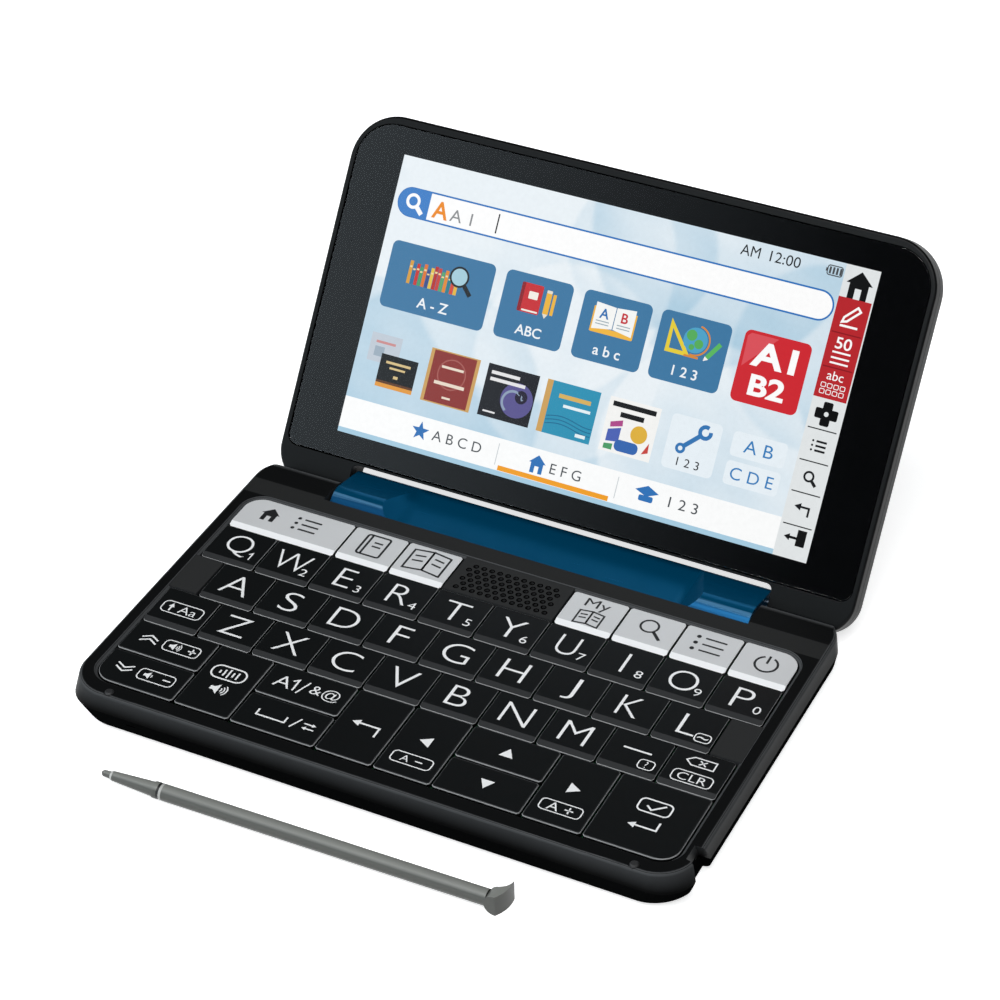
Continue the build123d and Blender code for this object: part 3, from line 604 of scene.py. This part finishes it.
# ---------------------------------------------------------------- touch glass and its black print
# One sheet of clear glass covers the whole screen half. A black print on its underside hides the
# frame round the picture, and its edge is ground to a small round.
LEAN = math.radians(55.5)
hinge_y, hinge_z = 51.3, 5.6
picture_foot_up, picture_plane_out = 11.4, 3.4


def on_lid(points, out):
    """Points across and up the screen plane, and a distance out of it in mm, as places in metres: the
    plane stands off the lid's hinge axis and leans back by the angle the lid is opened to."""
    across, up = points[:, 0], points[:, 1] + picture_foot_up
    away = np.asarray(out, float) + picture_plane_out
    return np.stack([across, hinge_y + up * math.cos(LEAN) - away * math.sin(LEAN),
                     hinge_z + up * math.sin(LEAN) + away * math.cos(LEAN)], 1) * MM


clear_glass, tree, shader = new_material("clear_glass", (1.0, 1.0, 1.0), 0.02)
place = add_node(tree, "TexCoord").outputs["Object"]
smudge = add_node(tree, "TexNoise", {"Vector": place, "Scale": 90, "Detail": 5}).outputs["Fac"]
wire(shader, {"Transmission Weight": 1.0, "IOR": 1.45,
              "Roughness": ramp(tree, smudge, 0.45, 0.8, 0.012, 0.03)})
finished("touch_glass", clear_glass, 0.14)

glass_print = grained("glass_print", (0.002, 0.002, 0.0025), 0.4, 0.001, 0.8, 0.95, 0.2, gloss=0.0)[0]
top_round, foot_round = 9.2, 2.4
side, top, foot, print_out = 72.9, 74.8, -5.8, -0.6
outline = np.concatenate([
    ring(side - top_round, top - top_round, top_round, 0, 90, 16),
    ring(top_round - side, top - top_round, top_round, 90, 180, 16),
    ring(foot_round - side, foot + foot_round, foot_round, 180, 270, 8),
    ring(side - foot_round, foot + foot_round, foot_round, 270, 360, 8)])
print_film = new_piece("black_print", on_lid(outline, np.full(len(outline), print_out)),
                       [list(range(len(outline)))], glass_print, "lid")

# ---------------------------------------------------------------- lit picture
# The liquid crystal cell shows a plain start page: a search field, subject tiles, book covers, a tab
# bar, and a column of function fields down the right side. It glows evenly and is drawn in flat inks.
picture_w, picture_h = 60.9, 68.5
drawn = []


def ink(color, level, *parts):
    """Adds drawings in one colour on one of the picture's thin levels; a later level lies on top."""
    value = np.array([int(color[i:i + 2], 16) / 255 for i in (1, 3, 5)])
    linear = np.where(value < 0.04045, value / 12.92, ((value + 0.055) / 1.055) ** 2.4)
    points, faces = join(parts)
    drawn.append((points, faces, linear, level))


def bar(left, foot, right, top, radius=0.0):
    """A filled rectangle, with round corners if a radius is given."""
    if radius == 0.0:
        return patch([(left, foot), (right, foot), (right, top), (left, top)])
    return patch(frame_path((left + right) / 2, (foot + top) / 2, right - left, top - foot, radius))


def shift(parts, x, y, scale=1.0):
    """Drawings moved and scaled."""
    return [(points * scale + [x, y], faces) for points, faces in parts]


# page: a pale blue sky of soft overlapping discs; the blue deepens downwards
columns, rows = 150, 92
grid_u, grid_v = np.meshgrid(np.linspace(-picture_w, 52.6, columns), np.linspace(0, picture_h, rows))
shade = 0.66 - 0.58 * grid_v / picture_h
for disc_u, disc_v, disc_r, depth in (
        (-62, 66, 28, -0.28), (22, 70, 33, 0.3), (-8, 30, 24, -0.2), (30, 18, 26, -0.3),
        (-40, 12, 30, 0.22), (4, 60, 19, 0.26), (52, 46, 22, 0.2), (-20, 52, 34, -0.24)):
    inside = disc_r - np.hypot(grid_u - disc_u, grid_v - disc_v)
    shade += 1.35 * depth * np.clip(inside / 1.2, 0, 1) * np.clip(1 - inside / (1.3 * disc_r), 0, 1)
shade += 0.05 * np.sin(0.35 * grid_u + 0.5 * grid_v) * np.sin(0.12 * grid_u - 0.3 * grid_v)
shade = np.clip(shade, 0, 1)[..., None]
sky = (1 - shade) * [0.84, 0.9, 0.94] + shade * [0.38, 0.59, 0.74]
index = np.arange(columns * rows).reshape(rows, columns)
squares = np.stack([index[:-1, :-1], index[:-1, 1:], index[1:, 1:], index[1:, :-1]], -1).reshape(-1, 4)
drawn.append((np.stack([grid_u.ravel(), grid_v.ravel()], 1), squares.tolist(), sky.reshape(-1, 3), 0))

# status line
ink("#222426", 2, glyph("AM", 29.6, 66.0, 2.5, 0.95), glyph("12:00", 38.2, 66.0, 2.5, 1.05))
ink("#4a4d50", 2, framed(0.25, 50.3, 66.2, 3.6, 2.2, 0.5),
    *[bar(48.9 + 0.85 * i, 65.4, 49.4 + 0.85 * i, 67.0) for i in range(4)], bar(48.1, 65.8, 48.5, 66.6))

# search field
ink("#ffffff", 1, bar(-59.6, 54.5, 52.0, 61.2, 3.34))
ink("#2f74bd", 2, framed(0.42, -3.8, 57.85, 111.6, 6.8, 3.39, 10))
cap_end = np.concatenate([ring(-56.2, 57.85, 3.4, 90, 270, 16), [(-51.4, 54.45), (-51.4, 61.25)]])
ink("#3f7fc8", 3, patch(cap_end))
ink("#ffffff", 4, *shift(lens_sign(0, 0, 5.0, 0.75), -55.2, 57.7))
ink("#ef8d1c", 3, glyph("A", -48.2, 57.6, 4.2, 1.0, -0.02))
ink("#8b8d8f", 3, glyph("A 1", -42.6, 57.2, 2.9, 1.1))
ink("#1b1c1d", 3, bar(-33.3, 55.5, -32.95, 60.2))

# subject tiles
tile_foot, tile_top = 32.0, 48.3
for left, right in ((-58.2, -30.6), (-27.7, -10.2), (-7.3, 10.1), (12.5, 30.1)):
    ink("#3f78a3", 2, bar(left, tile_foot, right, tile_top, 1.5))
for letters, middle, height in (("A - Z", -44.4, 2.5), ("ABC", -19.0, 2.4), ("a b c", 1.4, 2.5),
                                ("1 2 3", 21.3, 2.4)):
    ink("#f3f7fa", 4, glyph(letters, middle, 35.0, height, 1.05, -0.012))
shelf = [("#d9a03c", 5.6), ("#2f6f9e", 4.9), ("#c9352c", 5.2), ("#4b9c6a", 4.6), ("#e0762c", 5.5),
         ("#3b4f8c", 4.4), ("#e6c34a", 5.0), ("#b9302a", 5.6), ("#c8443a", 5.4), ("#5aa46e", 4.7),
         ("#e28b2f", 5.3), ("#2c7f8f", 4.5), ("#d84a35", 5.0), ("#e9b83e", 4.6)]
for place_number, (paint, tall) in enumerate(shelf):
    left, shelf_foot = -52.6 + 0.96 * place_number, 38.8
    ink(paint, 4, bar(left, shelf_foot, left + 0.86, shelf_foot + tall))
    ink("#f0d9a0", 5, bar(left + 0.12, shelf_foot + 0.7 * tall, left + 0.74, shelf_foot + 0.78 * tall))
ink("#1f2326", 6, stroke([(-37.7, 41.6), (-35.6, 39.4)], 1.1), stroke(circle(-39.3, 43.3, 2.3), 0.5, True))
ink("#a7cfdd", 5, patch(circle(-39.3, 43.3, 2.2)))
ink("#c92f35", 4, bar(-23.2, 39.2, -17.6, 46.2, 0.4))
ink("#8e1f27", 5, bar(-23.2, 39.2, -22.3, 46.2, 0.3))
ink("#f5f1e8", 5, bar(-21.0, 42.6, -18.6, 44.4, 0.2), bar(-22.0, 39.5, -17.9, 39.9))
ink("#efb73e", 4, bar(-16.6, 39.9, -15.2, 44.9), bar(-14.8, 39.9, -14.0, 44.9))
ink("#e8e0cf", 4, patch([(-16.6, 39.9), (-15.9, 38.8), (-15.2, 39.9)]), bar(-16.6, 44.9, -15.2, 45.6, 0.2))
ink("#f2b840", 4, bar(-4.2, 38.9, 6.8, 40.2, 0.4), bar(-4.2, 39.0, -3.4, 45.0), bar(6.0, 39.0, 6.8, 45.0))
ink("#f7f8f6", 5, patch([(-3.8, 39.6), (1.3, 40.4), (1.3, 45.6), (-3.8, 46.0)]),
    patch([(1.5, 40.4), (6.4, 39.6), (6.4, 46.0), (1.5, 45.6)]))
ink("#2c6fb3", 6, glyph("A", -1.3, 43.6, 2.4, 1.0, -0.02))
ink("#c8323a", 6, glyph("B", 3.9, 43.6, 2.4, 1.0, -0.02))
ink("#9fb0b8", 6, *[bar(left, level, left + 3.4, level + 0.25)
                    for left in (-3.1, 2.3) for level in (40.9, 41.6)])
ink("#e8cf3a", 4, stroke([(15.6, 39.3), (15.6, 45.6), (20.6, 39.3)], 0.95, True))
ink("#4fa3c9", 4, patch(circle(22.0, 42.9, 3.0)))
ink("#57ad5b", 5, *[patch(circle(*land))
                    for land in ((20.9, 43.9, 1.3), (23.0, 42.2, 1.1), (21.4, 41.2, 0.7))])
ink("#d98a3a", 5, stroke(ring(22.0, 42.9, 3.5, -100, 80, 16), 0.4), stroke([(20.0, 39.0), (23.6, 39.0)], 0.5))
ink("#5cb85f", 4, stroke([(25.6, 39.6), (28.2, 43.4)], 1.1))
ink("#f4f4f0", 5, patch([(25.1, 39.9), (24.9, 38.7), (26.1, 39.3)]))

# red study tile
ink("#cf2a33", 2, bar(33.3, 31.8, 49.7, 48.6, 1.5))
ink("#db525b", 3, patch([(34.2, 40.0), (41.5, 47.9), (34.8, 47.9), (34.0, 47.1)]))
ink("#ffffff", 4, glyph("A1", 41.5, 43.6, 5.8, 1.35, -0.03), glyph("B2", 41.5, 36.4, 5.0, 1.3, -0.03))

# book covers
ink("#c3cdd8", 2, bar(-57.9, 18.6, -49.7, 25.5))
ink("#cf8f8f", 3, bar(-56.4, 23.2, -51.2, 23.8))
ink("#9fb0bf", 3, bar(-56.4, 20.0, -53.8, 22.4))
ink("#131416", 4, bar(-54.2, 14.6, -44.3, 21.0))
ink("#e39a3d", 4, bar(-54.2, 13.0, -44.3, 14.0))
ink("#5f3a20", 4, bar(-54.2, 14.0, -44.3, 14.6))
ink("#d9c089", 5, bar(-52.6, 18.9, -46.0, 19.5), bar(-51.4, 17.7, -47.2, 18.2), bar(-49.9, 15.6, -48.7, 16.3))
ink("#cda15f", 2, bar(-41.8, 12.6, -28.8, 25.5))
ink("#8c3430", 3, bar(-40.9, 12.9, -29.7, 25.2))
ink("#a9605a", 4, stroke(circle(-35.3, 20.2, 3.6), 0.3, True))
ink("#ecdccb", 5, bar(-39.3, 17.3, -31.3, 18.1), bar(-38.2, 21.4, -32.4, 22.0), bar(-36.4, 14.2, -34.2, 14.7))
ink("#1c1c22", 2, bar(-26.6, 12.9, -13.2, 25.5))
ink("#5b5590", 3, patch(circle(-17.6, 18.4, 4.2)))
ink("#8fa0b8", 4, stroke(ring(-18.6, 17.8, 2.6, 20, 240, 20), 0.6))
ink("#241f33", 4, patch(circle(-16.6, 19.4, 1.6)))
ink("#e8e8ea", 5, bar(-25.4, 23.2, -18.0, 24.0), bar(-25.4, 21.6, -16.2, 22.4), bar(-25.4, 14.0, -22.2, 14.4))
ink("#cfa25c", 2, bar(-11.1, 12.9, -9.6, 25.5))
ink("#2d92b5", 2, bar(-9.6, 12.9, 2.7, 25.5))
wave_u = np.linspace(-9.4, 2.5, 24)
ink("#1f6d93", 3, *[stroke(np.stack([wave_u, 15.2 + wave + 0.6 * np.sin(np.linspace(0, 5, 24))], 1), 0.25)
                    for wave in (0.0, 0.9, 1.8)])
ink("#d9b25e", 4, bar(-7.4, 21.8, 0.8, 22.8))
ink("#e9f4f7", 4, bar(-5.8, 19.8, 1.2, 20.5), bar(-1.2, 13.8, 1.4, 14.6))
ink("#f6f6f4", 2, bar(5.2, 12.6, 18.2, 25.5))
ink("#151517", 4, bar(6.2, 23.4, 17.2, 24.6), bar(8.6, 21.2, 14.6, 22.4))
ink("#4c62b4", 3, patch([(6.4, 17.8), (9.6, 18.8), (9.6, 15.4), (6.4, 15.0)]))
ink("#b04a8a", 3, patch([(6.6, 19.6), (9.6, 20.6), (9.8, 19.2), (6.8, 18.4)]))
ink("#4c9c66", 3, patch([(6.2, 14.4), (8.4, 14.7), (8.4, 13.2), (6.2, 13.2)]))
ink("#3566b0", 4, bar(8.8, 13.3, 14.8, 16.0, 1.2))
ink("#e0b23e", 3, patch(circle(14.2, 18.2, 2.1)))
ink("#c9463f", 4, patch([(15.8, 14.0), (17.4, 14.6), (17.2, 17.0)]))

# tools and settings
ink("#e9f2f8", 2, bar(21.1, 12.7, 33.8, 25.5, 1.2), bar(36.6, 19.4, 50.0, 25.2, 1.0),
    bar(36.6, 12.7, 50.0, 18.3, 1.0))
ink("#3576b5", 3, stroke([(25.3, 18.4), (29.0, 21.9)], 1.1),
    stroke(ring(29.9, 22.8, 1.35, 60, 375, 16), 0.95),
    stroke(circle(24.8, 17.9, 0.9), 0.7, True))
ink("#23272a", 3, glyph("1 2 3", 27.5, 14.8, 2.0, 1.1))
ink("#3a80bd", 3, glyph("A B", 43.3, 22.3, 3.0, 1.1), glyph("C D E", 43.3, 15.5, 2.9, 1.05))

# tab bar
ink("#a8cde2", 1, bar(-60.9, 0.0, 52.6, 1.2))
ink("#fdfefe", 1, bar(-60.9, 1.2, 52.6, 8.8))
ink("#f2a01f", 3, bar(-18.2, 1.3, 10.6, 2.5))
ink("#c5ccd0", 3, bar(-19.2, 2.4, -19.0, 7.6), bar(11.9, 2.4, 12.1, 7.6))
corner = np.arange(10)
star_reach, star_angle = np.where(corner % 2, 1.0, 2.4), np.radians(90 + 36 * corner)
star = np.stack([star_reach * np.cos(star_angle), star_reach * np.sin(star_angle)], 1)
ink("#2f72b8", 3, patch(star + [-39.7, 5.3]), *house(-8.6, 5.2, 4.4),
    patch([(16.6, 6.0), (19.6, 4.8), (22.6, 6.0), (19.6, 7.4)]), bar(17.8, 3.6, 21.4, 5.0, 0.4))
ink("#4b5054", 3, glyph("A B C D", -29.9, 5.2, 2.5, 1.05), glyph("E F G", -1.2, 5.1, 2.5, 1.05),
    glyph("1 2 3", 29.0, 5.1, 2.5, 1.15))

# function column
ink("#e3e7e8", 1, bar(52.6, 0.0, 60.9, 68.5))
ink("#141516", 3, *house(56.7, 64.2, 6.4))
ink("#b8292f", 2, bar(52.6, 37.6, 60.6, 61.0))
ink("#8c1d24", 3, bar(53.0, 52.7, 60.2, 53.0), bar(53.0, 44.65, 60.2, 44.95))
ink("#ffffff", 4, *shift(pencil_sign(0, 0, 5.2, 0.5), 56.6, 57.0), glyph("50", 56.6, 50.6, 2.7, 1.1, -0.01),
    *[bar(54.4, level, 58.8, level + 0.42) for level in (48.2, 46.9, 45.7)],
    glyph("abc", 56.6, 43.0, 2.1, 1.0))
ink("#ffffff", 4, *[framed(0.16, 54.3 + 1.55 * i, 40.6 - 1.5 * j, 1.1, 1.0, 0.15, 2)
                    for i in range(4) for j in range(2)])
ink("#101112", 3, bar(55.6, 31.3, 57.9, 36.9, 0.4), bar(54.0, 32.9, 59.5, 35.3, 0.4))
ink("#e3e7e8", 4, patch(circle(56.75, 34.1, 0.55)))
ink("#2a2d2f", 3, *[bar(53.2, level, 60.2, level + 0.28) for level in (30.3, 22.7, 15.3, 7.6)])
ink("#1d1f21", 3, *shift(list_sign(0, 0, 3.6, 0.5), 56.8, 26.6),
    *shift(lens_sign(0, 0, 3.6, 0.5), 56.8, 19.0),
    *arrow([(58.4, 10.2), (58.4, 12.2), (56.4, 12.2)], 0.5, 1.6))
ink("#141516", 3, bar(57.2, 3.2, 59.4, 7.0), stroke([(57.9, 4.9), (55.4, 4.9)], 0.6),
    triangle(54.9, 4.9, 1.5, 180))

glow, tree, shader = new_material("lit_picture", (0.0, 0.0, 0.0), 0.9, gloss=0.0)
inks = add_node(tree, "Attribute", attribute_name="ink").outputs["Color"]
place = add_node(tree, "TexCoord").outputs["Object"]
raster = add_node(tree, "TexNoise", {"Vector": place, "Scale": 900}).outputs["Fac"]
even = ramp(tree, raster, 0, 1, 0.96, 1.04)
glowing = add_node(tree, "VectorMath", {0: inks, "Scale": even}, operation="SCALE").outputs["Vector"]
wire(shader, {"Emission Color": glowing, "Emission Strength": 1.0})

page_out, level_step = -0.52, 0.04
points = np.concatenate([part[0] for part in drawn])
colors = np.concatenate([np.broadcast_to(part[2], (len(part[0]), 3)) for part in drawn])
levels = np.concatenate([np.full(len(part[0]), part[3]) for part in drawn])
starts = np.cumsum([0] + [len(part[0]) for part in drawn[:-1]])
faces = [[index + start for index in face] for part, start in zip(drawn, starts.tolist()) for face in part[1]]
picture = new_piece("lit_picture", on_lid(points, page_out + level_step * levels), faces, glow, "lid")
paint = picture.data.color_attributes.new("ink", "FLOAT_COLOR", "POINT")
paint.data.foreach_set("color", np.concatenate([colors, np.ones((len(colors), 1))], 1).ravel())

# ---------------------------------------------------------------- stylus
# A tapering pen of warm grey plastic with a pale soft point and a flag that hooks over the case.
# Three rings lie round it: a pale one behind the point, and a dark and a pale one at the collar.
# painted shade: the pen is painted darker on its sides and darker still on its underside
pen_painted_shade = (((0.09, 0.093, 0.085), 0.86, 0.6), ((0.06, 0.062, 0.055), 0.45, 0.05))
pen_grey, tree, shader, place, paint = lean_painted_light("pen_grey", (0.2, 0.205, 0.19), pen_painted_shade, 0.3, 0.002,
                                                      0.38, 0.48, gloss=0.4)
ring_half = 0.3
along = parts_of(tree, place["Object"])["X"]
for ring_x, color in ((-54.3, (0.5, 0.5, 0.48)), (-42.1, (0.012, 0.012, 0.012)), (-41.5, (0.42, 0.42, 0.4))):
    paint = blend(tree, compute(tree, "COMPARE", along, ring_x * MM, ring_half * MM), paint, color)
wire(shader, {"Base Color": paint})
finished("stylus", pen_grey, 0.08)

# ---------------------------------------------------------------- inside parts
# Behind the shells lie the green key board with its gilt snap domes, the loudspeaker, the wrapped
# flat battery and the steel can of the liquid crystal module. They show when the case is opened.
board_top = 7.82
board, tree, shader, place, _ = grained("board_green", (0.01, 0.09, 0.035), 0.5, 0.003, 0.3, 0.4)
tracks = add_node(tree, "TexBrick", {
    "Vector": place["Object"], "Scale": 260, "Color1": (0.008, 0.07, 0.03), "Color2": (0.012, 0.1, 0.04),
    "Mortar": (0.03, 0.18, 0.07), "Mortar Size": 0.03}).outputs["Color"]
above = compute(tree, "GREATER_THAN", parts_of(tree, place["Object"])["Z"], board_top * MM)
wire(shader, {"Base Color": blend(tree, above, tracks, (0.62, 0.42, 0.12)), "Metallic": above})

cone, tree, shader, place, _ = grained("speaker_cone", (0.012, 0.012, 0.013), 0.4, 0.01, 0.5, 0.7)
low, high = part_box("speaker")
centred = {"Vector": place["Object"], "Location": tuple(-(low + high) / 2)}
around = {"Vector": add_node(tree, "Mapping", centred).outputs["Vector"], "Scale": 160}
rings = add_node(tree, "TexWave", around, wave_type="RINGS", rings_direction="Z").outputs["Fac"]
wire(shader, {"Base Color": blend(tree, rings, (0.006, 0.006, 0.007), (0.05, 0.05, 0.052))})

wrap = grained("battery_wrap", (0.42, 0.43, 0.45), 6.0, 0.12, 0.25, 0.45, 0.08, 0.6)[0]
can = grained("module_can", (0.55, 0.56, 0.57), 0.8, 0.003, 0.25, 0.4, 0.05, 1.0)[0]
for node, material in (("key_board", board), ("speaker", cone), ("battery", wrap), ("lcd_module", can)):
    for slot in frame["nodes"][node].material_slots:
        slot.material = material
